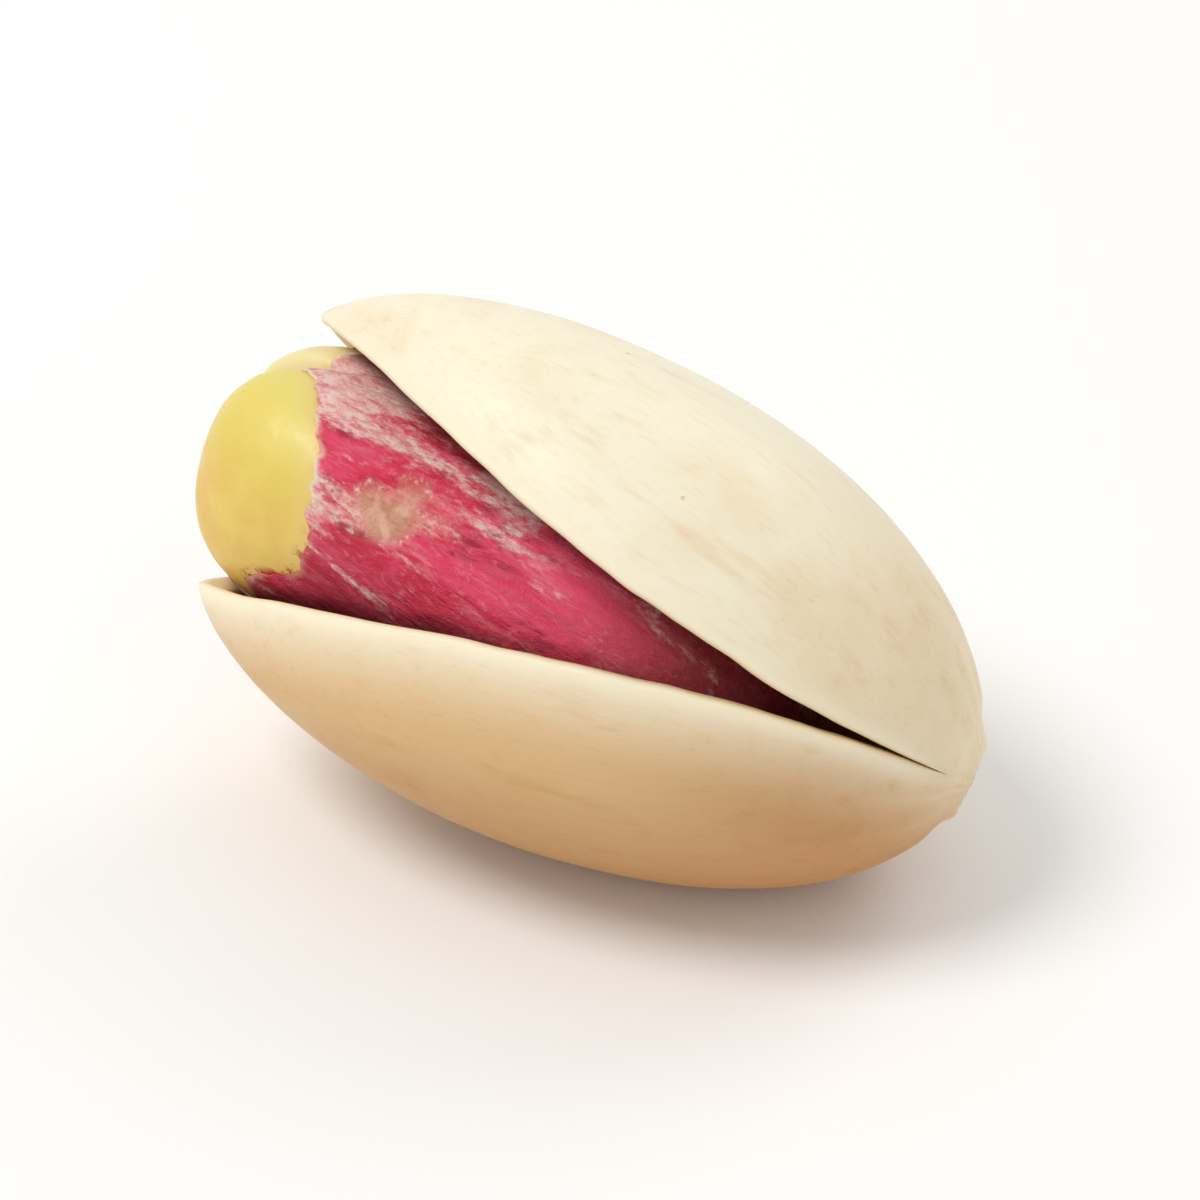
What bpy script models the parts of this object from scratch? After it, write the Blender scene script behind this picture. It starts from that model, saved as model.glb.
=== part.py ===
"""A pistachio in its shell, split open along its suture, with the kernel lying inside.

Metres, +Z up. The stem end is at +X and the open tip at -X, a little raised. The wide split faces -Y and up.
The origin is on the surface that the nut rests on, under the middle of the nut's box.

Each solid is shaped in the nut's own frame. The long axis is X and the suture plane is Z = 0. The ventral
suture, which is the wide split, is on the -Y side, and the dorsal suture on the +Y side. An empty then turns
all the solids.
"""

import math

import bmesh
import bpy
from mathutils import Vector

# The closed shell, before it opens.
SHELL_LENGTH = 0.0211
SHELL_HALF_THICKNESS = 0.00595
VENTRAL_HALF_WIDTH = 0.0064
DORSAL_HALF_WIDTH = 0.0061
SHELL_WALL = 0.0009
# The powers of the outline's two ends: a larger power makes that end more pointed.
SHELL_TIP_POWER = 0.74
SHELL_STEM_POWER = 0.56

# The opening: the valves bend apart past a fold line, which crosses the shell near its stem end. They are still
# joined where they would move less than the smallest split.
TIP_GAP = 0.0076
FOLD_ON_AXIS = 0.0014
FOLD_SLANT = 0.0025
OPENING_POWER = 2.1
SMALLEST_SPLIT = 0.00001

# The kernel in its seed coat, and its middle as measured from the shell's middle.
KERNEL_LENGTH = 0.0183
KERNEL_HALF_THICKNESS = 0.0045
KERNEL_HALF_WIDTH = 0.00475
KERNEL_MIDDLE = (-0.00285, 0, -0.0005)
KERNEL_TILT = math.radians(7.3)
# It is rounder at the stem end than at the tip, and narrows to the tip in thickness and more so in width.
KERNEL_STEM_POWER = 2.6
KERNEL_TIP_POWER = 5
KERNEL_TAPER = (-0.6, 0.8)
THICKNESS_LOST = 0.2
WIDTH_LOST = 0.5
SEED_COAT_WALL = 0.00025
GAP = 0.00034

# The cleft between the two cotyledons, at the kernel's bare tip.
CLEFT_DEPTH = 0.0005
CLEFT_HALF_WIDTH = 0.0006
CLEFT_TURN = math.radians(55)
CLEFT_STARTS = 0.7

# The torn edge of the seed coat, as a distance from the kernel's tip. In front it slants across the kernel.
TEAR_AT_FRONT = 0.0034
TEAR_AT_BACK = 0.0021
TEAR_SLANT = 0.0013
TEAR_WAVE = 0.00018
TEAR_WAVES = 5

# How the nut rests: rolled about its long axis, tipped up, and standing on a small flat spot.
ROLL = math.radians(37.5)
PITCH = math.radians(13)
FLAT_SPOT_DEPTH = 0.00034
CUTTER_SIZE = 0.03

SHELL_SEGMENTS = 32
SHELL_RINGS = 24
KERNEL_SEGMENTS = 28
KERNEL_RINGS = 18

# Linear base colour and roughness.
FINISHES = {
    "shell": ((0.80, 0.66, 0.44), 0.55),
    "seed_coat": ((0.45, 0.05, 0.09), 0.50),
    "kernel": ((0.70, 0.58, 0.15), 0.45),
}


def clear_scene():
    for obj in list(bpy.data.objects):
        bpy.data.objects.remove(obj)


def new_collection(name):
    collection = bpy.data.collections.new(name)
    bpy.context.scene.collection.children.link(collection)
    return collection


def new_material(name):
    color, roughness = FINISHES[name]
    material = bpy.data.materials.new(name)
    material.use_nodes = True
    surface = material.node_tree.nodes["Principled BSDF"]
    surface.inputs["Base Color"].default_value = (*color, 1)
    surface.inputs["Roughness"].default_value = roughness
    surface.inputs["Metallic"].default_value = 0
    return material


def new_object(name, mesh, collection):
    """An object made from a bmesh, shaded smooth, with the material of its own name."""
    data = bpy.data.meshes.new(name)
    mesh.to_mesh(data)
    mesh.free()
    data.shade_smooth()
    data.materials.append(new_material(name))
    made = bpy.data.objects.new(name, data)
    collection.objects.link(made)
    return made


def smoothstep(low, high, value):
    """0 below low, 1 above high, and a smooth rise between them."""
    share = min(1, max(0, (value - low) / (high - low)))
    return share * share * (3 - 2 * share)


def unit_sphere(segments, rings):
    """A unit sphere with its poles on Z."""
    mesh = bmesh.new()
    bmesh.ops.create_uvsphere(mesh, u_segments=segments, v_segments=rings, radius=1)
    return mesh


def place_of(vertex):
    """(c, side, up) of a point of the unit sphere: its height, and the cosine and sine of its angle."""
    radius = math.hypot(vertex.co.x, vertex.co.y)
    side, up = (vertex.co.x / radius, vertex.co.y / radius) if radius > 1e-4 else (1, 0)
    return max(-1, min(1, vertex.co.z)), side, up


def shell_point(c, side, up, inset):
    """A point of the closed shell, inset from its outside. c is 1 at the tip, side is 1 at the wide split."""
    outline = (1 - c) ** SHELL_TIP_POWER * (1 + c) ** SHELL_STEM_POWER
    half_width = VENTRAL_HALF_WIDTH if side > 0 else DORSAL_HALF_WIDTH
    return Vector(
        (
            -c * (SHELL_LENGTH / 2 - inset),
            -side * (half_width - inset) * outline,
            up * (SHELL_HALF_THICKNESS - inset) * outline,
        )
    )


def opening(place):
    """How far a valve moves away from the suture plane at that place of the closed shell."""
    outside = shell_point(*place, 0)
    from_stem = SHELL_LENGTH / 2 - outside.x
    fold = FOLD_ON_AXIS + FOLD_SLANT * outside.y / VENTRAL_HALF_WIDTH
    share = max(0, from_stem - fold) / (SHELL_LENGTH - FOLD_ON_AXIS)
    moved = TIP_GAP / 2 * share**OPENING_POWER
    return moved if moved > SMALLEST_SPLIT else 0


def split_suture(mesh):
    """Parts the two valves along the suture, from its ventral end over the tip to its dorsal end."""
    suture = [
        edge
        for edge in mesh.edges
        if all(abs(vertex.co.y) < 1e-5 for vertex in edge.verts)
        and any(opening(place_of(vertex)) > 0 for vertex in edge.verts)
    ]
    bmesh.ops.split_edges(mesh, edges=suture)


def shell_solid(collection):
    """Both valves as one body: a closed wall, split along its suture and opened past the fold."""
    mesh = unit_sphere(SHELL_SEGMENTS, SHELL_RINGS)
    split_suture(mesh)
    made = bmesh.ops.extrude_face_region(mesh, geom=mesh.faces[:], use_keep_orig=True)
    inner_wall = {vertex for vertex in made["geom"] if isinstance(vertex, bmesh.types.BMVert)}
    # A point is on the upper valve where its faces lie towards the unit sphere's +Y.
    valve = {vertex: sum(face.calc_center_median().y for face in vertex.link_faces) for vertex in mesh.verts}
    for vertex in mesh.verts:
        place = place_of(vertex)
        gap = opening(place)
        vertex.co = shell_point(*place, SHELL_WALL if vertex in inner_wall else 0)
        if gap > 0:
            vertex.co.z += gap if valve[vertex] > 0 else -gap
    bmesh.ops.recalc_face_normals(mesh, faces=mesh.faces)
    return new_object("shell", mesh, collection)


def kernel_point(c, side, up, inset):
    """A point of the kernel, inset from the seed coat's outside. c is 1 at the tip, side is 1 in front."""
    power = KERNEL_TIP_POWER if c > 0 else KERNEL_STEM_POWER
    outline = math.sqrt(1 - abs(c) ** power)
    taper = smoothstep(*KERNEL_TAPER, c)
    half_width = KERNEL_HALF_WIDTH * (1 - WIDTH_LOST * taper) - inset
    half_thickness = KERNEL_HALF_THICKNESS * (1 - THICKNESS_LOST * taper) - inset
    return Vector(
        (-c * (KERNEL_LENGTH / 2 - inset), -side * half_width * outline, up * half_thickness * outline)
    )


def cleft(point, c):
    """How far the cleft between the cotyledons pushes a point of the tip towards the kernel's middle."""
    off_plane = abs(point.z * math.cos(CLEFT_TURN) + point.y * math.sin(CLEFT_TURN))
    return CLEFT_DEPTH * smoothstep(CLEFT_STARTS, 1, c) * (1 - smoothstep(0, CLEFT_HALF_WIDTH, off_plane))


def kernel_solid(collection):
    """Both cotyledons as one seed, a little inside the seed coat."""
    mesh = unit_sphere(KERNEL_SEGMENTS, KERNEL_RINGS)
    for vertex in mesh.verts:
        c, side, up = place_of(vertex)
        point = kernel_point(c, side, up, SEED_COAT_WALL + GAP)
        vertex.co = point - point.normalized() * cleft(point, c)
    bmesh.ops.recalc_face_normals(mesh, faces=mesh.faces)
    return new_object("kernel", mesh, collection)


def torn_edge(side, up):
    """The seed coat's torn edge, as the value of c at that angle about the kernel's axis."""
    towards_front = (1 + side) / 2
    from_tip = TEAR_AT_BACK + (TEAR_AT_FRONT - TEAR_AT_BACK - TEAR_SLANT * up) * towards_front
    from_tip += TEAR_WAVE * math.sin(TEAR_WAVES * math.atan2(up, side))
    return 1 - from_tip / (KERNEL_LENGTH / 2)


def seed_coat_solid(collection):
    """A skin over the kernel, open at the tip, where it is torn away."""
    mesh = unit_sphere(KERNEL_SEGMENTS, KERNEL_RINGS)
    last_ring = math.cos(math.pi / KERNEL_RINGS)
    tip = [vertex for vertex in mesh.verts if vertex.co.z > (1 + last_ring) / 2]
    bmesh.ops.delete(mesh, geom=tip, context="VERTS")
    for vertex in mesh.verts:
        c, side, up = place_of(vertex)
        share = (1 + c) / (1 + last_ring)
        vertex.co = kernel_point(share * (1 + torn_edge(side, up)) - 1, side, up, 0)
    bmesh.ops.recalc_face_normals(mesh, faces=mesh.faces)
    coat = new_object("seed_coat", mesh, collection)
    wall = coat.modifiers.new("wall", "SOLIDIFY")
    wall.thickness = SEED_COAT_WALL
    wall.offset = -1
    return coat


def put_kernel_in_place(pieces):
    for piece in pieces:
        piece.location = KERNEL_MIDDLE
        piece.rotation_euler = (0, KERNEL_TILT, 0)


def rest_on_surface(pieces, collection):
    """Turns the pieces together, and sets them down so that the flat spot is on Z = 0."""
    axis = bpy.data.objects.new("nut_axis", None)
    collection.objects.link(axis)
    axis.rotation_euler = (-ROLL, PITCH, 0)
    for piece in pieces:
        piece.parent = axis
    bpy.context.view_layer.update()
    points = [piece.matrix_world @ vertex.co for piece in pieces for vertex in piece.data.vertices]
    low, high = ([pick(point[i] for point in points) for i in range(3)] for pick in (min, max))
    axis.location = (-(low[0] + high[0]) / 2, -(low[1] + high[1]) / 2, -low[2] - FLAT_SPOT_DEPTH)


def cut_flat_spot(shell):
    """Cuts off what is below the surface that the nut rests on."""
    mesh = bmesh.new()
    bmesh.ops.create_cube(mesh, size=CUTTER_SIZE)
    data = bpy.data.meshes.new("flat_spot_cutter")
    mesh.to_mesh(data)
    mesh.free()
    cutter = bpy.data.objects.new("flat_spot_cutter", data)
    new_collection("cutters").objects.link(cutter)
    cutter.location = (0, 0, -CUTTER_SIZE / 2)
    cutter.hide_render = True
    cutter.display_type = "WIRE"
    cut = shell.modifiers.new("flat_spot", "BOOLEAN")
    cut.operation = "DIFFERENCE"
    cut.solver = "EXACT"
    cut.object = cutter


def main():
    clear_scene()
    collection = new_collection("pistachio_in_shell")
    shell = shell_solid(collection)
    seed = [kernel_solid(collection), seed_coat_solid(collection)]
    put_kernel_in_place(seed)
    rest_on_surface([shell, *seed], collection)
    cut_flat_spot(shell)


main()
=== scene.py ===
"""The finish of a pistachio in its split shell: the ivory shell, the crimson seed coat and the green kernel.

Each piece starts as a sphere, is cut and given its wall with edit mode tools, and is then shaped point by
point in the nut's own frame: the long axis is X with the stem end at +X, the suture plane is Z = 0, and the
wide split is on the -Y side. It is then turned and set down where the frame has it.

Lengths are in metres. The grain that each point keeps for its material is in millimetres, so a material's
distances and scales are too.
"""

import math

import bmesh
import bpy
from mathutils import Euler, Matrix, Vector, noise

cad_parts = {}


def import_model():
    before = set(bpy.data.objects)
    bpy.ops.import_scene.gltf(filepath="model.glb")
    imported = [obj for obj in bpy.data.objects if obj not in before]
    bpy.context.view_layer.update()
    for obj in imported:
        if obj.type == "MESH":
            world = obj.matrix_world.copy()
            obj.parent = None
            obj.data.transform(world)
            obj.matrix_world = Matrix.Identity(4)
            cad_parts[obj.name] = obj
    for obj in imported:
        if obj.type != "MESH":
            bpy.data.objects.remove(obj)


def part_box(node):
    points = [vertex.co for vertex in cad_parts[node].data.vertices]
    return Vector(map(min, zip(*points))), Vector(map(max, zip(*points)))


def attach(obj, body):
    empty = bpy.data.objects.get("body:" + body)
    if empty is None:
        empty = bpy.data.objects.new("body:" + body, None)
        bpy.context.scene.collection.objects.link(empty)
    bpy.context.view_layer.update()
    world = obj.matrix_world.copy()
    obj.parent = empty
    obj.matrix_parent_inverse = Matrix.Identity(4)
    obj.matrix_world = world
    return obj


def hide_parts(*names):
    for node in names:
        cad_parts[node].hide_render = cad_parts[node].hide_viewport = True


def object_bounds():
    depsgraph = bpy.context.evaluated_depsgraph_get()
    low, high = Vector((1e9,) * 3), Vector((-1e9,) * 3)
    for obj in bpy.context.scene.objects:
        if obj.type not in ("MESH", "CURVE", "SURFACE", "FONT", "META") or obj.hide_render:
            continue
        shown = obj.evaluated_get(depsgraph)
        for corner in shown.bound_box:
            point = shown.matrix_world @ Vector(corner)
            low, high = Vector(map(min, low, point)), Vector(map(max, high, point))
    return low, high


MM = 0.001

# How the nut lies: rolled about its long axis, then tipped up at the open end.
ROLL = math.radians(37.5)
PITCH = math.radians(13)

# The closed shell, and how its two valves open.
SHELL_LENGTH = 21.1 * MM
SHELL_HALF_THICKNESS = 5.95 * MM
VENTRAL_HALF_WIDTH = 6.4 * MM
DORSAL_HALF_WIDTH = 6.1 * MM
SHELL_WALL = 0.9 * MM
TIP_POWER = 0.74
STEM_POWER = 0.56
TIP_GAP = 7.6 * MM
FOLD_ON_AXIS = 1.4 * MM
FOLD_SLANT = 2.5 * MM
OPENING_POWER = 2.1
# The detail of its outside: broad lumps, small dents, and ribs that rise towards the stem.
LUMP_HEIGHT = 0.07 * MM
LUMP_SIZE = 7 * MM
DENT_HEIGHT = 0.025 * MM
DENT_SIZE = 2.6 * MM
RIB_HEIGHT = 0.02 * MM
RIB_RISE_AT_STEM = 0.05 * MM
FINE_RIB_HEIGHT = 0.007 * MM
# The stem scar, whose middle lies a little towards the narrow split.
SCAR_RADIUS = 1.1 * MM
SCAR_MIDDLE = 0.45 * MM
SCAR_DEPTH = 0.20 * MM
SCAR_ROUGHNESS = 0.09 * MM
SCAR_RAY_HEIGHT = 0.05 * MM
SCAR_RING_HEIGHT = 0.12 * MM
SCAR_RING_WIDTH = 0.20 * MM
SCAR_MOAT_DEPTH = 0.06 * MM
SCAR_MOAT_WIDTH = 0.3 * MM
# The lips: how far their corners are rounded back, and how far they wander.
LIP_ROUNDING = 0.16 * MM
LIP_WAVE = 0.10 * MM
LIP_NICKS = 0.045 * MM

# The kernel in its seed coat.
KERNEL_LENGTH = 18.3 * MM
KERNEL_HALF_THICKNESS = 4.5 * MM
KERNEL_HALF_WIDTH = 4.75 * MM
KERNEL_MIDDLE = Vector((-2.85, 0, -0.5)) * MM
KERNEL_TILT = math.radians(7.3)
KERNEL_STEM_POWER = 2.6
KERNEL_TIP_POWER = 5
# The shares of its width and thickness that it loses by the tip, how much fuller it is below there, and how
# far it swells into the wide split.
WIDTH_LOST = 0.5
THICKNESS_LOST = 0.18
FULLER_BELOW = 0.45 * MM
KEEL = 0.9 * MM
# The cleft between the cotyledons, and how far their backs rise beside it.
CLEFT_DEPTH = 0.85 * MM
CLEFT_HALF_WIDTH = 0.26 * MM
LOBE_HEIGHT = 0.16 * MM
KERNEL_LUMPS = 0.09 * MM
COAT_THICKNESS = 0.09 * MM
COAT_CLEARANCE = 0.04 * MM
# The heights of the seed coat's folds, veins and crackle.
FOLD_HEIGHT = 0.055 * MM
VEIN_HEIGHT = 0.030 * MM
CRACKLE_HEIGHT = 0.020 * MM

# The spheres that the pieces start from, as (segments, rings).
SHELL_SPHERE = (240, 150)
KERNEL_SPHERE = (200, 140)
COAT_SPHERE = (300, 150)
# The radius of the shell's inner wall while its outside is still a unit sphere.
INNER_RADIUS = 0.9
# How far its lips stand off the suture on that sphere, so that each is known to be on its own valve.
HAIR = 1e-4
# How high above the surface the edge of the flat spot starts to round off.
FLAT_SPOT_SOFTNESS = 0.04 * MM

# The camera's place about the nut, and its turn about its line of sight.
CAMERA_AZIMUTH = math.radians(17)
CAMERA_ELEVATION = math.radians(38)
CAMERA_TURN = math.radians(4.3)
CAMERA_DISTANCE = 0.16
LENS_MM = 180

# Colours, as 0 to 255 in each channel.
IVORY = (248, 240, 215)
# Sand, brown under and the stem's lower tone are partly a real tan and partly painted shade.
SAND_AND_PAINTED_SHADE = (221, 183, 130)
BROWN_AND_PAINTED_SHADE_UNDER = (196, 144, 86)
STEM_ABOVE = (241, 220, 182)
STEM_TAN_AND_PAINTED_SHADE_BELOW = (194, 136, 74)
SHELL_PATCH = (244, 226, 204)
SHELL_STREAK = (236, 210, 178)
SHELL_FIBRE = (220, 190, 152)
SHELL_SPECK = (170, 132, 92)
# A painted highlight along the lips.
PAINTED_LIP_HIGHLIGHT = (252, 240, 212)
SCAR_PALE = (236, 208, 156)
SCAR_DARK = (186, 138, 84)
CUT_WALL = (240, 219, 174)
INSIDE_PALE = (214, 158, 96)
INSIDE_DARK = (176, 112, 62)

CRIMSON = (216, 14, 64)
PINK = (252, 78, 120)
MAROON = (150, 12, 46)
PALE_STREAK = (252, 136, 152)
SKIN_BELOW = (164, 14, 40)
SKIN_AT_STEM = (186, 72, 66)
BLOOM_ROSE = (240, 176, 172)
BLOOM_WHITE = (254, 222, 212)
SKIN_LINE = (226, 84, 108)
SKIN_VEIN = (248, 160, 166)
BLOTCH_DARK = (204, 144, 112)
BLOTCH_PALE = (238, 186, 158)
BLOTCH_HEM = (250, 206, 196)
# Painted shade next to the shell's lips.
SKIN_PAINTED_SHADE = (112, 22, 34)
TORN_EDGE = (248, 228, 196)

KERNEL_GOLD = (226, 187, 88)
KERNEL_YELLOW = (229, 210, 104)
KERNEL_GREEN = (222, 222, 136)
KERNEL_PATCH = (236, 214, 110)
FAR_LOBE = (242, 226, 172)
KERNEL_RIM = (236, 204, 128)
SKIN_CRUMBS = (176, 74, 34)
UNDER_SKIN = (190, 130, 74)

FLOOR_TONES = (250, 250, 250), (252, 252, 252)


def deselect_all():
    for obj in bpy.context.selected_objects:
        obj.select_set(False)


def smoothstep(low, high, value):
    """0 below low, 1 above high, and a smooth rise between them."""
    share = min(1, max(0, (value - low) / (high - low)))
    return share * share * (3 - 2 * share)


def wobble(point, size, seed):
    """Smooth noise from -1 to 1 over a point, with lumps of about that size."""
    return noise.noise(point / size + Vector((seed, 2.3 * seed, -1.7 * seed)))


def layered(point, size, seed, layers=3):
    """Noise of several sizes on one another."""
    total = 0
    for layer in range(layers):
        total += wobble(point, size / 2**layer, seed + 7 * layer) / 2**layer
    return total


# ---------------------------------------------------------------- pieces


def add_sphere(name, segments, rings):
    """A unit sphere with its poles on Z, for a piece to be shaped from. It is left in edit mode."""
    deselect_all()
    bpy.ops.mesh.primitive_uv_sphere_add(segments=segments, ring_count=rings, radius=1)
    piece = bpy.context.object
    piece.name = name
    piece.data.name = name
    bpy.ops.object.mode_set(mode="EDIT")
    bpy.ops.mesh.select_all(action="DESELECT")
    return piece


def select_edges(piece, wanted):
    """Selects the edges of a piece in edit mode for which wanted(start, end) is true."""
    mesh = bmesh.from_edit_mesh(piece.data)
    bpy.ops.mesh.select_mode(type="EDGE")
    for edge in mesh.edges:
        edge.select_set(wanted(*(vertex.co for vertex in edge.verts)))
    bmesh.update_edit_mesh(piece.data)


def place_of(point):
    """(c, side, up, depth) of a point of a sphere with a wall.

    c is 1 at the tip and -1 at the stem. side and up are the cosine and sine of the point's angle from the
    wide split, and depth is 0 outside and 1 inside.
    """
    radius = point.length
    across = math.hypot(point.x, point.y)
    side, up = (point.x / across, point.y / across) if across > 1e-5 else (1, 0)
    depth = (1 - radius) / (1 - INNER_RADIUS)
    return max(-1, min(1, point.z / radius)), side, up, max(0, min(1, depth))


def store(piece, name, values):
    """Keeps one number or vector for each point of the piece, for its material to read."""
    if isinstance(values[0], Vector):
        attribute = piece.data.attributes.new(name, "FLOAT_VECTOR", "POINT")
        attribute.data.foreach_set("vector", [part for value in values for part in value])
    else:
        attribute = piece.data.attributes.new(name, "FLOAT", "POINT")
        attribute.data.foreach_set("value", values)


def finish_piece(piece, node, material):
    """Shades a piece smooth, gives it its material and puts it in the place of its CAD node."""
    for polygon in piece.data.polygons:
        polygon.use_smooth = True
    piece.data.materials.clear()
    piece.data.materials.append(material)
    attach(piece, "root")
    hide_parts(node)


# ---------------------------------------------------------------- shell


def closed_shell_point(c, side, up, inset):
    """A point of the closed shell, inset from its outside."""
    outline = (1 - c) ** TIP_POWER * (1 + c) ** STEM_POWER
    half_width = VENTRAL_HALF_WIDTH if side > 0 else DORSAL_HALF_WIDTH
    return Vector(
        (
            -c * (SHELL_LENGTH / 2 - inset),
            -side * (half_width - inset) * outline,
            up * (SHELL_HALF_THICKNESS - inset) * outline,
        )
    )


def share_open(c, side):
    """How far the valves have parted at that place along the suture: 0 at the fold and 1 at the tip."""
    outside = closed_shell_point(c, side, 0, 0)
    from_stem = SHELL_LENGTH / 2 - outside.x
    fold = FOLD_ON_AXIS + FOLD_SLANT * outside.y / VENTRAL_HALF_WIDTH
    return max(0, from_stem - fold) / (SHELL_LENGTH - FOLD_ON_AXIS)


def from_scar(point):
    """Distance from the middle of the stem scar, looking along the nut."""
    return math.hypot(point.y - SCAR_MIDDLE, point.z)


def shell_relief(c, side, up):
    """How far the outside of the shell stands proud of its smooth form."""
    smooth = closed_shell_point(c, side, up, 0)
    around = math.atan2(up, side)
    lumps = LUMP_HEIGHT * wobble(smooth, LUMP_SIZE, seed=3) + DENT_HEIGHT * wobble(smooth, DENT_SIZE, seed=8)
    # Faint ribs run from the stem end, strongest near it, and fade out over the belly.
    ribs = wobble(Vector((6 * math.cos(around), 6 * math.sin(around), c * 1.2)), 1, seed=5)
    fine_ribs = wobble(Vector((17 * math.cos(around), 17 * math.sin(around), c * 1.5)), 1, seed=9)
    rib_height = RIB_HEIGHT + RIB_RISE_AT_STEM * (1 - smoothstep(-0.95, -0.55, c))
    across = from_scar(smooth)
    off_scar = smoothstep(0.8 * SCAR_RADIUS, 1.6 * SCAR_RADIUS, across) if c < 0 else 1
    off_tip = 1 - smoothstep(0.75, 0.98, c)
    return lumps * off_tip + (rib_height * ribs + FINE_RIB_HEIGHT * fine_ribs) * off_scar * off_tip


def scar_relief(point, c):
    """The stem scar: a rough, slightly sunken disc inside a raised ring, at the stem end."""
    if c > -0.8:
        return 0
    across = from_scar(point)
    ring = math.exp(-(((across - SCAR_RADIUS) / SCAR_RING_WIDTH) ** 2))
    moat = math.exp(-(((across - 1.55 * SCAR_RADIUS) / SCAR_MOAT_WIDTH) ** 2))
    inside = 1 - smoothstep(0.75 * SCAR_RADIUS, SCAR_RADIUS, across)
    rough = layered(point, 0.55 * MM, seed=21)
    rays = wobble(Vector((math.atan2(point.z, point.y - SCAR_MIDDLE) * 2.2, across / MM, 0)), 1, seed=23)
    sunken = inside * (SCAR_ROUGHNESS * rough + SCAR_RAY_HEIGHT * rays - SCAR_DEPTH)
    return SCAR_RING_HEIGHT * ring * (1 + 0.5 * rough) + sunken - SCAR_MOAT_DEPTH * moat


def scar_mark(point, c):
    """1 on the stem scar and 0 off it, with a ragged border."""
    if c >= -0.8:
        return 0
    ragged = 0.18 * MM * layered(point, 0.6 * MM, seed=27)
    return 1 - smoothstep(0.6 * SCAR_RADIUS, 1.15 * SCAR_RADIUS, from_scar(point) + ragged)


def lip_setback(depth):
    """How far the lip's outer and inner corners are rounded back from the cut."""
    outer = LIP_ROUNDING * max(0, 1 - depth / 0.22) ** 2
    inner = LIP_ROUNDING * max(0, 1 - (1 - depth) / 0.3) ** 2
    return outer + inner


def lip_wave(c, side, above):
    """How the edge of a lip wanders from a smooth curve."""
    along = -c * SHELL_LENGTH / 2
    line = Vector((along, 3 * MM if side > 0 else -3 * MM, 9 * MM if above else -9 * MM))
    return LIP_WAVE * wobble(line, 3.2 * MM, seed=31) + LIP_NICKS * wobble(line, 1.1 * MM, seed=37)


def shell_point(place, above):
    """A point of the open shell, and (depth, lip, scar) there for its material: lip marks the painted
    highlight along the lips.
    """
    c, side, up, depth = place
    smooth = closed_shell_point(c, side, up, depth * SHELL_WALL)
    outside = closed_shell_point(c, side, up, 0)
    outward = outside.normalized()
    point = smooth + outward * (1 - depth) * (shell_relief(c, side, up) + scar_relief(outside, c))
    opened = share_open(c, side)
    from_lip = abs(outside.z)
    # Painted highlight: a band along each opened lip where its rounded edge catches light.
    painted_highlight_at_lip = math.exp(-((from_lip / (0.45 * MM)) ** 2))
    if opened > 0:
        at_lip = math.exp(-((from_lip / (1.2 * MM)) ** 2)) * smoothstep(0, 0.2, opened)
        gap = TIP_GAP / 2 * opened**OPENING_POWER + lip_wave(c, side, above) * at_lip
        gap += lip_setback(depth) * math.exp(-from_lip / (0.3 * MM)) * smoothstep(0, 0.12, opened)
        point.z += gap if above else -gap
    return point, (depth, painted_highlight_at_lip * smoothstep(0, 0.1, opened), scar_mark(outside, c))


def make_shell(segments, rings):
    """Both valves as one body, from a sphere split along the suture and given an inner wall."""
    piece = add_sphere("pistachio_shell", segments, rings)

    def on_open_suture(start, end):
        at_suture = abs(start.y) < 1e-5 and abs(end.y) < 1e-5
        return at_suture and any(share_open(*place_of(point)[:2]) > 0 for point in (start, end))

    select_edges(piece, on_open_suture)
    bpy.ops.mesh.edge_split(type="EDGE")
    part_lips(piece)
    bpy.ops.mesh.select_all(action="SELECT")
    bpy.ops.mesh.extrude_region()
    bpy.ops.transform.resize(value=[INNER_RADIUS] * 3, center_override=(0, 0, 0))
    select_edges(piece, lambda start, end: abs(start.length - end.length) > 0.5 * (1 - INNER_RADIUS))
    bpy.ops.mesh.subdivide(number_cuts=7)
    bpy.ops.mesh.select_all(action="SELECT")
    bpy.ops.mesh.normals_make_consistent(inside=False)
    bpy.ops.object.mode_set(mode="OBJECT")
    shape_shell(piece)
    return piece


def part_lips(piece):
    """Moves the two sides of the split a hair apart, each towards its own valve."""
    mesh = bmesh.from_edit_mesh(piece.data)
    lips = {vertex for edge in mesh.edges if edge.is_boundary for vertex in edge.verts}
    valves = {vertex: sum(face.calc_center_median().y for face in vertex.link_faces) for vertex in lips}
    for vertex, valve in valves.items():
        if sum(edge.is_boundary for edge in vertex.link_edges) == 2 and abs(valve) > 1e-4:
            vertex.co.y = math.copysign(HAIR, valve)
    bmesh.update_edit_mesh(piece.data)


def shape_shell(piece):
    """Gives each point of the sphere its place on the open shell, and stores its grain and marks."""
    marks, grain = [], []
    for vertex in piece.data.vertices:
        c, side, up, depth = place_of(vertex.co)
        # Points are drawn closer together towards the lips.
        around = math.atan2(up, side)
        around -= 0.35 * math.sin(2 * around)
        place = (c, math.cos(around), math.sin(around), depth)
        grain.append(closed_shell_point(*place[:3], 0) / MM)
        vertex.co, mark = shell_point(place, vertex.co.y > 0)
        marks.append(mark)
    store(piece, "grain", grain)
    for name, values in zip(("depth", "lip", "scar"), zip(*marks)):
        store(piece, name, values)


# ---------------------------------------------------------------- kernel and seed coat


def end_power(c, up):
    """The power of the kernel's outline: the stem end is round, and the tip blunt, more so below."""
    return KERNEL_TIP_POWER - 1.5 * min(0, up) if c > 0 else KERNEL_STEM_POWER


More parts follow.
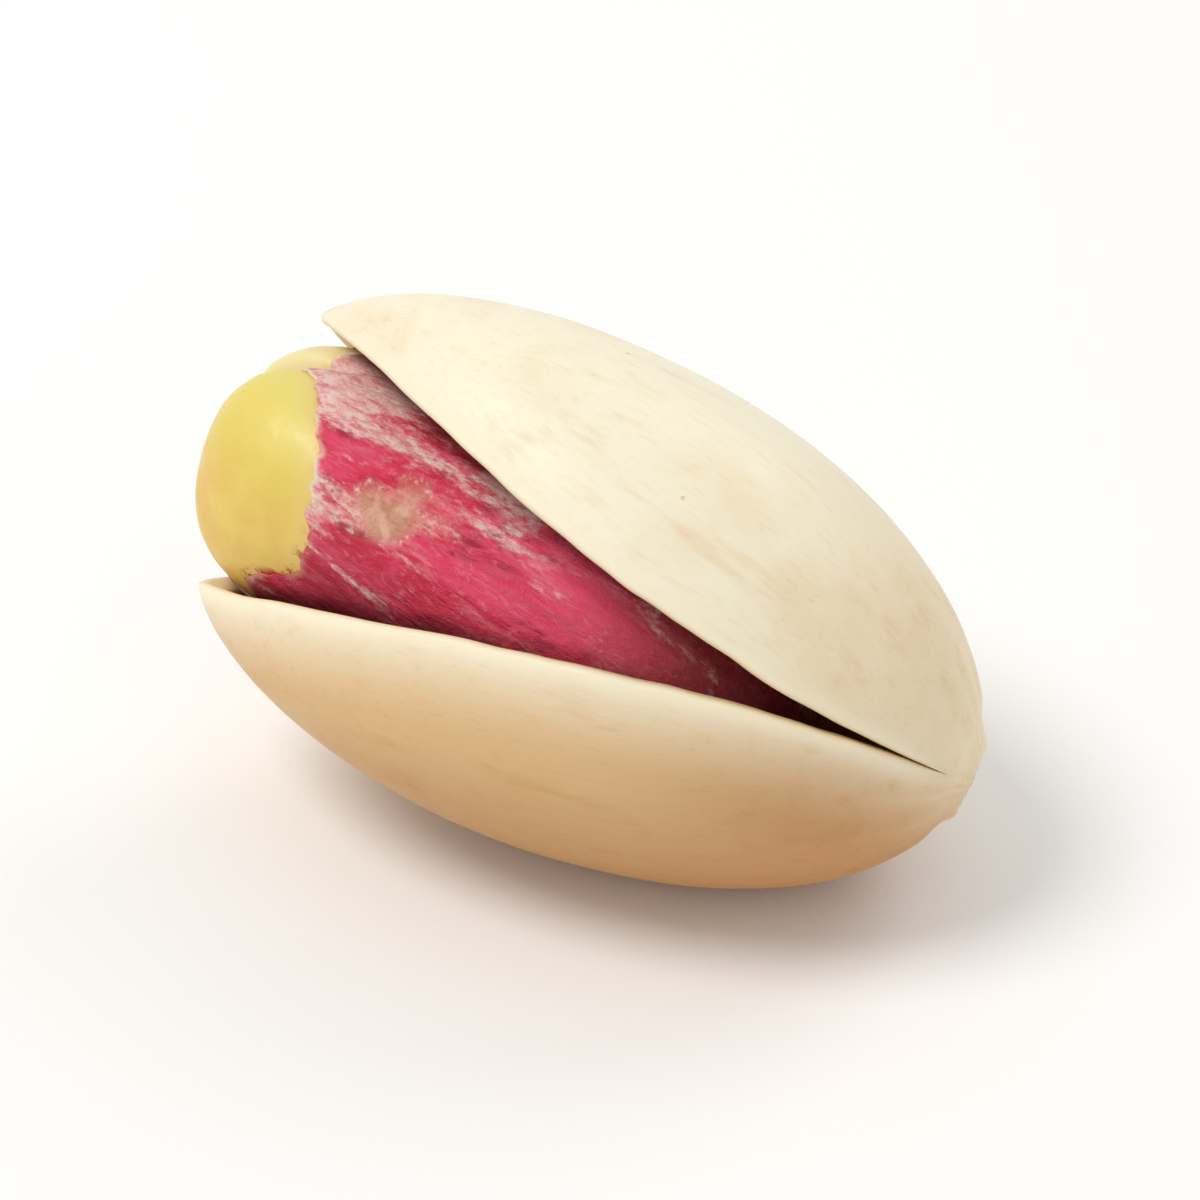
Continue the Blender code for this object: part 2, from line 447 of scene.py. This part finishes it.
def kernel_form(c, side, up, inset):
    """A point of the kernel's smooth form in the kernel's own frame, inset from the seed coat's outside."""
    taper = smoothstep(-0.6, 0.8, c)
    half_width = KERNEL_HALF_WIDTH * (1 - WIDTH_LOST * taper) - inset
    half_thickness = KERNEL_HALF_THICKNESS * (1 - THICKNESS_LOST * taper) - inset
    outline = math.sqrt(max(0, 1 - abs(c) ** end_power(c, up)))
    if up < 0:
        half_thickness += FULLER_BELOW * smoothstep(0.2, 0.8, c)
    # The side that faces the wide split swells into it as a low keel, which dies away towards the stem.
    if side > 0:
        half_width += KEEL * smoothstep(-0.6, 0.5, c) * side**2
    return Vector(
        (
            -c * (KERNEL_LENGTH / 2 - inset),
            -side * half_width * outline,
            up * half_thickness * outline,
        )
    )


def to_nut(point):
    """From the kernel's own frame to the nut's."""
    turned = point.copy()
    turned.rotate(Euler((0, KERNEL_TILT, 0)))
    return turned + KERNEL_MIDDLE


def cleft_plane(point):
    """Signed distance from the plane between the two cotyledons."""
    return point.z * 0.57 + point.y * 0.82 - 0.55 * MM + 0.12 * MM * wobble(point, 2.5 * MM, seed=41)


def lobe_relief(point, c):
    """The lumps of the two cotyledons, and the cleft that deepens between them towards the tip."""
    off = cleft_plane(point)
    cleft = CLEFT_DEPTH * math.exp(-((off / CLEFT_HALF_WIDTH) ** 2)) * smoothstep(0.6, 0.93, c)
    lobes = LOBE_HEIGHT * (1 - math.exp(-((off / (0.8 * MM)) ** 2))) * smoothstep(0.3, 0.8, c)
    return lobes - cleft + KERNEL_LUMPS * wobble(point, 3.5 * MM, seed=43)


def kernel_point(place):
    """A point of the kernel, and its signed distance from the plane between the cotyledons."""
    c, side, up, _ = place
    point = kernel_form(c, side, up, COAT_THICKNESS + COAT_CLEARANCE)
    lift = lobe_relief(point, c) + 0.02 * MM * layered(point, 0.9 * MM, seed=47)
    return point + point.normalized() * lift, cleft_plane(point)


def make_kernel(segments, rings):
    """Both cotyledons, pressed together, with the cleft between them at the bare tip."""
    piece = add_sphere("kernel_cotyledons", segments, rings)
    bpy.ops.object.mode_set(mode="OBJECT")
    grain, lobe, rim = [], [], []
    for vertex in piece.data.vertices:
        place = place_of(vertex.co)
        c, side, up, _ = place
        grain.append(kernel_form(c, side, up, 0) / MM)
        point, off = kernel_point(place)
        lobe.append(off / MM)
        rim.append((c - torn_edge(side, up)) * KERNEL_LENGTH / 2 / MM)
        vertex.co = to_nut(point)
    store(piece, "grain", grain)
    store(piece, "lobe", lobe)
    store(piece, "rim", rim)
    return piece


def torn_edge(side, up):
    """The seed coat's torn edge, as the value of c at that angle about the kernel."""
    around = Vector((side, up, 0))
    angle = math.degrees(math.atan2(up, side))
    # In front the tear slants across the kernel. It dips above, where the far cotyledon is bare, and a tongue
    # of skin reaches towards the tip below.
    from_tip = 2.0 + (1.45 - 2.05 * up) * smoothstep(-0.4, 0.5, side)
    from_tip += 1.3 * math.exp(-(((angle - 80) / 17) ** 2))
    from_tip -= 0.6 * math.exp(-(((angle - 55) / 14) ** 2)) + 2.1 * math.exp(-(((angle + 62) / 16) ** 2))
    # Its jags are of several sizes.
    from_tip += 0.26 * wobble(around, 0.5, seed=51) + 0.20 * wobble(around, 0.17, seed=53)
    from_tip += 0.16 * wobble(around, 0.075, seed=55) * (0.6 + wobble(around, 0.4, seed=57))
    from_tip += 0.10 * wobble(around, 0.035, seed=59)
    return 1 - max(0.5, from_tip) * MM / (KERNEL_LENGTH / 2)


def painted_shade_under_lips(point):
    """How much a point of the skin is next to or under a lip of the shell, where shade is painted on it."""
    c = max(-1, min(1, -point.x / (SHELL_LENGTH / 2)))
    lip = TIP_GAP / 2 * share_open(c, 1) ** OPENING_POWER
    ragged = 0.15 * MM * wobble(point, 0.8 * MM, seed=83)
    return 1 - smoothstep(-0.1 * MM, 0.55 * MM, lip - abs(point.z) + ragged)


def beige_blotch(point):
    """How much a point of the skin is in its one faded blotch, on the side that faces the wide split."""
    if point.y > 0:
        return 0
    along = point.x + 3.4 * MM
    slanted = point.z - 0.2 * MM - 0.35 * along
    away = math.hypot(along / 1.5, slanted * 1.3)
    return 1 - smoothstep(0.1 * MM, 1.3 * MM, away + 0.8 * MM * layered(point, 1.0 * MM, seed=81))


def skin_wrinkles(point):
    """The height of the seed coat's lengthwise wrinkles and veins."""
    along = Vector((point.x / 4.5, point.y, point.z))
    bent = along + Vector((0, 0, 0.5 * MM * wobble(point, 4 * MM, seed=61)))
    folds = 1 - 2 * abs(wobble(bent, 1.2 * MM, seed=63))
    veins = 1 - 2 * abs(wobble(bent, 0.5 * MM, seed=67))
    crackle = layered(point, 0.45 * MM, seed=71, layers=2)
    return FOLD_HEIGHT * folds + VEIN_HEIGHT * veins + CRACKLE_HEIGHT * crackle


def skin_point(place, edge):
    """A point of the seed coat's outside, and how near it is to the torn edge, where it is 1."""
    c, side, up, _ = place
    from_tear = (edge - c) * KERNEL_LENGTH / 2
    at_tear = math.exp(-from_tear / (0.35 * MM))
    # Towards the tear the skin lies closer to the kernel and has shallower wrinkles, and its edge is uneven.
    settled = math.exp(-from_tear / (1.1 * MM))
    point = kernel_form(c, side, up, 0.05 * MM * settled)
    lift = skin_wrinkles(point) * (1 - 0.6 * settled) + lobe_relief(point, c)
    lift += 0.04 * MM * at_tear * layered(point, 0.6 * MM, seed=73)
    return point + point.normalized() * lift, at_tear


def make_seed_coat(segments, rings):
    """The papery skin over the kernel, torn open at the tip."""
    piece = add_sphere("crimson_seed_coat", segments, rings)
    mesh = bmesh.from_edit_mesh(piece.data)
    bpy.ops.mesh.select_mode(type="VERT")
    for vertex in mesh.verts:
        vertex.select_set(vertex.co.z > 0.9999)
    bmesh.update_edit_mesh(piece.data)
    bpy.ops.mesh.delete(type="VERT")
    bpy.ops.object.mode_set(mode="OBJECT")
    highest = math.cos(math.pi / rings)
    grain, torn, blotch, painted_shade_at_lips = [], [], [], []
    for vertex in piece.data.vertices:
        c, side, up, depth = place_of(vertex.co)
        edge = torn_edge(side, up)
        # Rings are drawn closer together towards the torn edge.
        share = (1 + c) / (1 + highest)
        place = (share * (1 + edge) - 1, side, up, depth)
        smooth = kernel_form(*place[:3], 0)
        grain.append(smooth / MM)
        blotch.append(beige_blotch(smooth))
        point, at_tear = skin_point(place, edge)
        torn.append(at_tear)
        vertex.co = to_nut(point)
        # Painted shade where the skin lies next to or under the shell's lips.
        painted_shade_at_lips.append(painted_shade_under_lips(vertex.co))
    store(piece, "grain", grain)
    store(piece, "painted_shade_at_lips", painted_shade_at_lips)
    store(piece, "torn", torn)
    store(piece, "blotch", blotch)
    wall = piece.modifiers.new("wall", "SOLIDIFY")
    wall.thickness = COAT_THICKNESS
    wall.offset = -1
    bpy.ops.object.modifier_apply(modifier=wall.name)
    return piece


# ---------------------------------------------------------------- setting down


def set_down(pieces):
    """Turns the pieces as the nut lies, and moves them to where the frame has the shell."""
    turn = Euler((-ROLL, PITCH, 0)).to_matrix()
    for piece in pieces:
        for vertex in piece.data.vertices:
            vertex.co = turn @ vertex.co
    low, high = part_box("shell")
    smooth_low, smooth_high = box_of([turn @ point for point in smooth_open_shell()])
    shift = (low + high - smooth_low - smooth_high) / 2
    shift.z = high.z - smooth_high.z
    for piece in pieces:
        for vertex in piece.data.vertices:
            vertex.co += shift
            vertex.co.z = worn_flat(vertex.co.z)
        piece.data.update()


def box_of(points):
    """The lowest and highest corners of the points' box."""
    axes = list(zip(*points))
    return Vector([min(axis) for axis in axes]), Vector([max(axis) for axis in axes])


def smooth_open_shell():
    """Points all over the open shell without its detail."""
    for step in range(-60, 61):
        c = math.sin(math.radians(1.5 * step))
        for angle in range(0, 360, 3):
            side, up = math.cos(math.radians(angle)), math.sin(math.radians(angle))
            point = closed_shell_point(c, side, up, 0)
            gap = TIP_GAP / 2 * share_open(c, side) ** OPENING_POWER
            point.z += gap if up >= 0 else -gap
            yield point


def worn_flat(height):
    """Flattens what would lie below the surface, with a soft edge to the flat spot."""
    if height > FLAT_SPOT_SOFTNESS:
        return height
    return FLAT_SPOT_SOFTNESS * max(0, (height / FLAT_SPOT_SOFTNESS + 1) / 2) ** 2


# ---------------------------------------------------------------- materials


class Finish:
    """A material's nodes, with short ways to add and join them."""

    def __init__(self, name):
        self.material = bpy.data.materials.new(name)
        self.material.use_nodes = True
        self.nodes = self.material.node_tree.nodes
        self.surface = self.nodes["Principled BSDF"]

    def add(self, kind, **settings):
        node = self.nodes.new(kind)
        for key, value in settings.items():
            setattr(node, key, value)
        return node

    def join(self, source, target):
        self.material.node_tree.links.new(source, target)

    def read(self, name, vector=False):
        """What store kept for each point under that name."""
        node = self.add("ShaderNodeAttribute", attribute_name=name)
        return node.outputs["Vector" if vector else "Fac"]

    def stretch(self, vector, scale):
        node = self.add("ShaderNodeMapping")
        node.inputs["Scale"].default_value = scale
        self.join(vector, node.inputs["Vector"])
        return node.outputs["Vector"]

    def cloud(self, vector, scale, detail=3, roughness=0.5, distortion=0):
        node = self.add("ShaderNodeTexNoise")
        node.inputs["Scale"].default_value = scale
        node.inputs["Detail"].default_value = detail
        node.inputs["Roughness"].default_value = roughness
        node.inputs["Distortion"].default_value = distortion
        self.join(vector, node.inputs["Vector"])
        return node.outputs["Fac"]

    def cells(self, vector, scale):
        """The distance from the nearest of points strewn about."""
        node = self.add("ShaderNodeTexVoronoi")
        node.inputs["Scale"].default_value = scale
        self.join(vector, node.inputs["Vector"])
        return node.outputs["Distance"]

    def fade(self, value, low, high, start=0, end=1):
        """Goes smoothly from start to end as the value goes from low to high."""
        node = self.add("ShaderNodeMapRange", interpolation_type="SMOOTHSTEP")
        for key, number in (("From Min", low), ("From Max", high), ("To Min", start), ("To Max", end)):
            node.inputs[key].default_value = number
        self.join(value, node.inputs["Value"])
        return node.outputs["Result"]

    def ridges(self, vector, scale, width=0.022):
        """Thin winding lines, where a cloud crosses its middle value."""
        off_middle = self.combine(self.cloud(vector, scale, 4, 0.6, 0.5), -0.5, "ADD")
        node = self.add("ShaderNodeMath", operation="ABSOLUTE")
        self.join(off_middle, node.inputs[0])
        return self.fade(node.outputs["Value"], width, 0)

    def combine(self, first, second, operation="MULTIPLY"):
        node = self.add("ShaderNodeMath", operation=operation)
        for socket, value in zip(node.inputs, (first, second)):
            if isinstance(value, (int, float)):
                socket.default_value = value
            else:
                self.join(value, socket)
        return node.outputs["Value"]

    def axis(self, vector, name):
        node = self.add("ShaderNodeSeparateXYZ")
        self.join(vector, node.inputs["Vector"])
        return node.outputs[name]

    def blend(self, share, first, second, mode="MIX"):
        """The first colour where share is 0, going over to the second, or to their product."""
        node = self.add("ShaderNodeMix", data_type="RGBA", blend_type=mode)
        self.join(share, node.inputs["Factor"])
        for socket, value in ((node.inputs[6], first), (node.inputs[7], second)):
            if isinstance(value, tuple):
                socket.default_value = linear(value)
            else:
                self.join(value, socket)
        return node.outputs[2]

    def bump(self, height, strength, distance):
        node = self.add("ShaderNodeBump")
        node.inputs["Strength"].default_value = strength
        node.inputs["Distance"].default_value = distance
        self.join(height, node.inputs["Height"])
        self.join(node.outputs["Normal"], self.surface.inputs["Normal"])

    def set(self, **values):
        """Sets the surface's sockets, named with _ for each space."""
        for key, value in values.items():
            self.surface.inputs[key.replace("_", " ")].default_value = value


def linear(color):
    """A linear colour, with its alpha, from one given as 0 to 255 in each channel."""
    parts = [part / 255 for part in color]
    return (*(part / 12.92 if part <= 0.04045 else ((part + 0.055) / 1.055) ** 2.4 for part in parts), 1)


def shell_outside(finish, grain, lengthwise):
    """Ivory, sandy and browner below, partly a real tan and partly painted shade under the nut, sandy at the
    stem, with faint patches, streaks, fibres and a few specks.
    """
    height = finish.axis(grain, "Z")
    # Painted shade: sand below the suture, brown on the underside and caramel at the stem below, partly a
    # real tan and partly the shade under the nut.
    tan_and_painted_shade_below = finish.fade(height, 0.8, -2.8)
    color = finish.blend(tan_and_painted_shade_below, IVORY, SAND_AND_PAINTED_SHADE)
    color = finish.blend(finish.fade(height, -2.6, -6.2), color, BROWN_AND_PAINTED_SHADE_UNDER)
    stem = finish.fade(finish.axis(grain, "X"), 1.0, 9.0, 0, 0.8)
    color = finish.blend(stem, color, finish.blend(tan_and_painted_shade_below, STEM_ABOVE, STEM_TAN_AND_PAINTED_SHADE_BELOW))
    patches = finish.fade(finish.cloud(grain, 0.24, 3, 0.6), 0.48, 0.76, 0, 0.5)
    color = finish.blend(patches, color, SHELL_PATCH, "MULTIPLY")
    streaks = finish.fade(finish.cloud(lengthwise, 1.6, 4, 0.6), 0.52, 0.8, 0, 0.4)
    color = finish.blend(streaks, color, SHELL_STREAK, "MULTIPLY")
    fibres = finish.fade(finish.cloud(lengthwise, 8, 3, 0.6), 0.5, 0.8, 0, 0.2)
    color = finish.blend(fibres, color, SHELL_FIBRE, "MULTIPLY")
    few = finish.fade(finish.cloud(grain, 0.6, 1), 0.5, 0.56)
    specks = finish.combine(finish.fade(finish.cells(grain, 0.6), 0.055, 0.03, 0, 0.65), few)
    return finish.blend(specks, color, SHELL_SPECK)


def shell_edges_and_inside(finish, color, grain, lengthwise):
    """Over the outside's colour: a painted highlight along the lips, the stem scar, the cut through the wall
    and the tan inside.
    """
    # Painted highlight along the lips.
    color = finish.blend(finish.combine(finish.read("lip"), 0.75), color, PAINTED_LIP_HIGHLIGHT)
    scar_tone = finish.fade(finish.cloud(grain, 2.2, 5, 0.7, 0.8), 0.36, 0.68)
    color = finish.blend(finish.read("scar"), color, finish.blend(scar_tone, SCAR_PALE, SCAR_DARK))
    depth = finish.read("depth")
    color = finish.blend(finish.fade(depth, 0.02, 0.2), color, CUT_WALL)
    inner_tone = finish.fade(finish.cloud(lengthwise, 1.2, 4, 0.6), 0.3, 0.75)
    inner_color = finish.blend(inner_tone, INSIDE_PALE, INSIDE_DARK)
    return finish.blend(finish.fade(depth, 0.8, 0.98), color, inner_color)


def ivory_shell():
    """Smooth ivory shell, tan inside, sand and brown below as partly painted shade, with a painted highlight
    along its cut lips, rough and yellow at the stem scar.
    """
    finish = Finish("ivory_shell")
    grain = finish.read("grain", vector=True)
    lengthwise = finish.stretch(grain, (0.16, 1, 1))
    color = shell_outside(finish, grain, lengthwise)
    color = shell_edges_and_inside(finish, color, grain, lengthwise)
    finish.join(color, finish.surface.inputs["Base Color"])
    shine = finish.fade(finish.cloud(grain, 1.1, 4, 0.6), 0.3, 0.75, 0.38, 0.56)
    finish.join(shine, finish.surface.inputs["Roughness"])
    fine = finish.cloud(finish.stretch(grain, (0.5, 1, 1)), 5, 6, 0.65)
    pits = finish.fade(finish.cells(grain, 1.3), 0.09, 0.04, 0, -0.4)
    finish.bump(finish.combine(fine, pits, "ADD"), 0.35, 0.04 * MM)
    finish.set(Subsurface_Weight=0.15, Subsurface_Scale=0.8 * MM, Subsurface_Radius=(1, 0.55, 0.3))
    finish.set(Specular_IOR_Level=0.42)
    return finish.material


def crimson_ground(finish, grain, lengthwise):
    """Crimson and pink in long streaks, darker below, browner towards the stem."""
    tone = finish.fade(finish.cloud(lengthwise, 0.7, 5, 0.65, 0.8), 0.36, 0.62)
    color = finish.blend(tone, CRIMSON, PINK)
    dark = finish.fade(finish.cloud(lengthwise, 1.3, 6, 0.7, 0.5), 0.46, 0.34, 0, 0.75)
    color = finish.blend(dark, color, MAROON)
    streaks = finish.fade(finish.cloud(lengthwise, 2.2, 6, 0.72, 0.6), 0.5, 0.66, 0, 0.65)
    color = finish.blend(streaks, color, PALE_STREAK)
    low = finish.fade(finish.axis(grain, "Z"), 0.0, -2.4, 0, 0.6)
    color = finish.blend(low, color, SKIN_BELOW)
    stem = finish.fade(finish.axis(grain, "X"), 1.0, 6, 0, 0.75)
    return finish.blend(stem, color, SKIN_AT_STEM)


def papery_bloom(finish, color, grain, lengthwise, grains):
    """Pale bloom in streaks made of fine grains, thickest near the tear above."""
    near_tip = finish.fade(finish.axis(grain, "X"), 2.5, -5.0, 0, 0.26)
    above = finish.fade(finish.axis(grain, "Z"), 0.1, 2.0, 0, 0.42)
    place = finish.combine(near_tip, above, "ADD")
    bands = finish.fade(finish.cloud(lengthwise, 1.0, 4, 0.6, 0.5), 0.36, 0.66, 0.1, 0.75)
    bands = finish.combine(bands, place, "ADD")
    bloom = finish.fade(finish.combine(bands, grains, "ADD"), 1.18, 1.66, 0, 0.92)
    bloom_tone = finish.blend(finish.fade(grains, 0.4, 0.6), BLOOM_ROSE, BLOOM_WHITE)
    return finish.blend(bloom, color, bloom_tone)


def lines_and_veins(finish, color, grain):
    """Long fine lines, and broken pale veins."""
    line_clouds = finish.cloud(finish.stretch(grain, (0.12, 1, 1)), 3.4, 5, 0.7, 0.3)
    color = finish.blend(finish.fade(line_clouds, 0.54, 0.64, 0, 0.7), color, SKIN_LINE)
    veins = finish.combine(finish.ridges(finish.stretch(grain, (0.3, 1, 1)), 1.5), 0.4)
    broken = finish.fade(finish.cloud(grain, 2.4, 4, 0.7), 0.48, 0.6)
    return finish.blend(finish.combine(veins, broken), color, SKIN_VEIN)


def faded_blotch(finish, color, grain, grains):
    """The beige blotch, with a pale, grainy hem."""
    blotch = finish.read("blotch")
    faded = finish.combine(blotch, finish.fade(grains, 0.3, 0.55, 0.6, 0.95))
    mottling = finish.fade(finish.cloud(grain, 1.5, 4, 0.65, 1.0), 0.36, 0.64)
    color = finish.blend(faded, color, finish.blend(mottling, BLOTCH_DARK, BLOTCH_PALE))
    hem = finish.combine(finish.fade(blotch, 0.02, 0.3), finish.fade(blotch, 0.8, 0.3, 0, 0.8))
    hem_grains = finish.fade(finish.cloud(grain, 2.6, 5, 0.75), 0.5, 0.62)
    return finish.blend(finish.combine(hem, hem_grains), color, BLOTCH_HEM)


def skin_borders(finish, color, grain):
    """Painted shade next to the shell's lips, and the pale frayed edge of the tear."""
    # Painted shade where the skin lies next to and under the shell's lips, stronger towards the tip.
    painted_shade_strength = finish.fade(finish.axis(grain, "X"), 3, -1, 0.35, 0.8)
    color = finish.blend(finish.combine(finish.read("painted_shade_at_lips"), painted_shade_strength), color, SKIN_PAINTED_SHADE)
    ragged = finish.fade(finish.cloud(grain, 1.3, 4), 0.36, 0.56)
    frayed = finish.combine(finish.fade(finish.read("torn"), 0.45, 0.9), ragged)
    frayed = finish.combine(frayed, finish.fade(finish.axis(grain, "Z"), -1.9, 0.2, 0.25, 1))
    return finish.blend(frayed, color, TORN_EDGE)


def crimson_skin():
    """Wrinkled, papery seed coat: crimson, streaked with pale pink, with painted shade next to the shell's
    lips.
    """
    finish = Finish("crimson_skin")
    grain = finish.read("grain", vector=True)
    lengthwise = finish.stretch(grain, (0.22, 1, 1))
    grains = finish.cloud(finish.stretch(grain, (0.5, 1, 1)), 5.5, 5, 0.75)
    color = crimson_ground(finish, grain, lengthwise)
    color = papery_bloom(finish, color, grain, lengthwise, grains)
    color = lines_and_veins(finish, color, grain)
    color = faded_blotch(finish, color, grain, grains)
    color = skin_borders(finish, color, grain)
    finish.join(color, finish.surface.inputs["Base Color"])
    shine = finish.fade(finish.cloud(grain, 3, 5, 0.7), 0.3, 0.7, 0.28, 0.6)
    finish.join(shine, finish.surface.inputs["Roughness"])
    crackle = finish.cloud(finish.stretch(grain, (0.35, 1, 1)), 4.5, 8, 0.7, 0.5)
    finish.bump(finish.combine(crackle, grains, "ADD"), 0.85, 0.10 * MM)
    finish.set(Subsurface_Weight=0.08, Subsurface_Scale=0.4 * MM, Subsurface_Radius=(1, 0.3, 0.25))
    finish.set(Specular_IOR_Level=0.5)
    return finish.material


def waxy_kernel():
    """Waxy yellow-green kernel, golden below, with its far lobe cream and crumbs of skin at its foot."""
    finish = Finish("waxy_kernel")
    grain = finish.read("grain", vector=True)
    height = finish.axis(grain, "Z")
    color = finish.blend(finish.fade(height, -2.4, 0.6), KERNEL_GOLD, KERNEL_YELLOW)
    color = finish.blend(finish.fade(height, 0.4, 2.8), color, KERNEL_GREEN)
    patches = finish.fade(finish.cloud(grain, 0.5, 4, 0.6), 0.4, 0.7, 0, 0.5)
    color = finish.blend(patches, color, KERNEL_PATCH)
    far_lobe = finish.fade(finish.read("lobe"), -0.05, 0.2)
    color = finish.blend(far_lobe, color, FAR_LOBE)
    rim = finish.read("rim")
    color = finish.blend(finish.fade(rim, 0.9, 0.0, 0, 0.6), color, KERNEL_RIM)
    crumbs = finish.fade(finish.cloud(grain, 2.6, 5, 0.75), 0.44, 0.56)
    at_foot = finish.combine(finish.fade(rim, 0.5, 0.05), finish.fade(height, -1.2, -2.0))
    color = finish.blend(finish.combine(crumbs, at_foot), color, SKIN_CRUMBS)
    color = finish.blend(finish.fade(rim, -0.1, -0.6), color, UNDER_SKIN)
    finish.join(color, finish.surface.inputs["Base Color"])
    shine = finish.fade(finish.cloud(grain, 1.6, 4, 0.6), 0.3, 0.7, 0.30, 0.46)
    finish.join(shine, finish.surface.inputs["Roughness"])
    finish.bump(finish.cloud(grain, 3.5, 6, 0.6), 0.25, 0.05 * MM)
    finish.set(Subsurface_Weight=0.2, Subsurface_Scale=0.8 * MM, Subsurface_Radius=(1, 0.85, 0.3))
    return finish.material


def pale_floor():
    """Plain pale floor, very slightly mottled."""
    finish = Finish("pale_floor")
    place = finish.add("ShaderNodeTexCoord").outputs["Object"]
    tone = finish.cloud(place, 4, 2)
    finish.join(finish.blend(tone, *FLOOR_TONES), finish.surface.inputs["Base Color"])
    finish.set(Roughness=0.9, Specular_IOR_Level=0.1)
    return finish.material


# ---------------------------------------------------------------- studio


def add_camera(target):
    """A long lens from the front right, above the nut."""
    level = math.cos(CAMERA_ELEVATION)
    away = Vector(
        (
            math.sin(CAMERA_AZIMUTH) * level,
            -math.cos(CAMERA_AZIMUTH) * level,
            math.sin(CAMERA_ELEVATION),
        )
    )
    bpy.ops.object.camera_add(location=target + away * CAMERA_DISTANCE)
    camera = bpy.context.object
    camera.data.lens = LENS_MM
    camera.data.sensor_width = 36
    camera.data.clip_start = 0.005
    facing = (-away).to_track_quat("-Z", "Y").to_matrix()
    camera.rotation_euler = (facing @ Euler((0, 0, CAMERA_TURN)).to_matrix()).to_euler()
    bpy.context.scene.camera = camera


def add_softbox(place, size, power, target, color=(1, 1, 1)):
    """A round soft light that faces the target."""
    bpy.ops.object.light_add(type="AREA", location=place)
    light = bpy.context.object
    light.data.shape = "DISK"
    light.data.size = size
    light.data.energy = power
    light.data.color = color
    light.rotation_euler = (target - Vector(place)).to_track_quat("-Z", "Y").to_euler()


def add_studio(target):
    """A wide pale floor, an even pale sky, and soft lights from the upper left and behind."""
    bpy.ops.mesh.primitive_plane_add(size=6)
    floor = bpy.context.object
    floor.name = "floor"
    floor.data.materials.append(pale_floor())
    world = bpy.data.worlds.new("studio")
    world.use_nodes = True
    sky = world.node_tree.nodes["Background"]
    sky.inputs["Color"].default_value = (1, 0.99, 0.975, 1)
    sky.inputs["Strength"].default_value = 0.6
    bpy.context.scene.world = world
    add_softbox((-0.16, -0.10, 0.30), 0.16, 0.55, target, (1, 0.985, 0.96))
    add_softbox((0.10, 0.25, 0.22), 0.20, 0.2, target)


def main():
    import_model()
    cad_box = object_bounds()
    shell = make_shell(*SHELL_SPHERE)
    kernel = make_kernel(*KERNEL_SPHERE)
    coat = make_seed_coat(*COAT_SPHERE)
    set_down([shell, kernel, coat])
    finish_piece(shell, "shell", ivory_shell())
    finish_piece(kernel, "kernel", waxy_kernel())
    finish_piece(coat, "seed_coat", crimson_skin())
    middle = (cad_box[0] + cad_box[1]) / 2
    add_camera(middle)
    add_studio(middle)
    bpy.context.scene.view_settings.view_transform = "Standard"


main()
